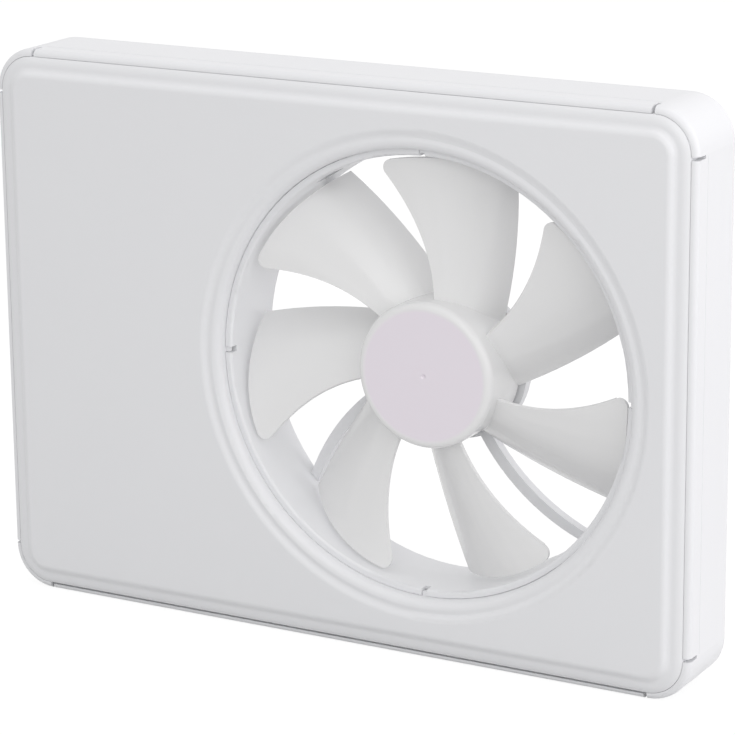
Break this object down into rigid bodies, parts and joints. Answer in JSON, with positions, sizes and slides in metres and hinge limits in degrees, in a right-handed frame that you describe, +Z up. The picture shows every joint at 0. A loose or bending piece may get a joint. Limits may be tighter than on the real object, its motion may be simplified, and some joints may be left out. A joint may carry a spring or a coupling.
{
  "type": "heat transfer fan",
  "caption": "Slim white rectangular wall fan with a round open mouth to one side, swept axial blades on a hub motor and a clipped front cover; moves warm air between rooms.",
  "frame": {"origin": "where the fan's axis meets the wall plane, on the back of the motor seat", "axes": "+X to the right along the longest side, +Y into the wall along the fan's axis, +Z up; the front faces -Y"},
  "size_m": [0.22, 0.0262, 0.163],
  "materials": {
    "housing_white": "satin moulded white",
    "cover_white": "satin moulded white",
    "impeller_white": "satin moulded white",
    "brass_tube": "turned",
    "sintered_bronze": "sintered, oiled",
    "natural_nylon": "natural",
    "lamination_steel": "stamped and stacked",
    "plated_steel": "zinc plated",
    "bright_steel": "ground",
    "ferrite": "bonded ferrite",
    "enamelled_copper": "enamelled",
    "board_green": "solder mask",
    "black_resin": "moulded",
    "terminal_grey": "moulded",
    "tape_yellow": "film tape",
    "capacitor_sleeve": "shrink sleeve",
    "lead_sleeve": "soft sleeve",
    "lid_grey": "moulded",
    "black_rubber": "moulded"
  },
  "bodies": {
    "base": {"rear_housing": "housing_white", "front_cover": "cover_white", "bearing_tube": "brass_tube", "sleeve_bearing": "sintered_bronze", "thrust_washer_front": "natural_nylon", "thrust_washer_rear": "natural_nylon", "stator_core": "lamination_steel", "insulator_front": "natural_nylon", "insulator_rear": "natural_nylon", "windings": "enamelled_copper", "motor_board": "board_green", "hall_sensor": "black_resin", "motor_lead": "lead_sleeve", "control_board": "board_green", "board_screws": "plated_steel", "terminal_block": "terminal_grey", "terminal_screws": "plated_steel", "transformer_core": "ferrite", "transformer_winding": "tape_yellow", "capacitors": "capacitor_sleeve", "mains_fuse": "black_resin", "controller_chip": "black_resin", "motor_connector": "natural_nylon", "temperature_sensor": "black_resin", "sensor_lead": "lead_sleeve", "electronics_lid": "lid_grey", "lid_screws": "plated_steel", "cable_grommet": "black_rubber"},
    "rotor": {"impeller": "impeller_white", "rotor_yoke": "plated_steel", "rotor_magnet": "ferrite", "shaft": "bright_steel", "shaft_clip": "bright_steel"}
  },
  "joints": [
    {"name": "impeller_spin", "type": "hinge", "parent": "base", "child": "rotor", "pos_m": [0, 0, 0], "axis": [0, -1, 0], "continuous": true}
  ]
}
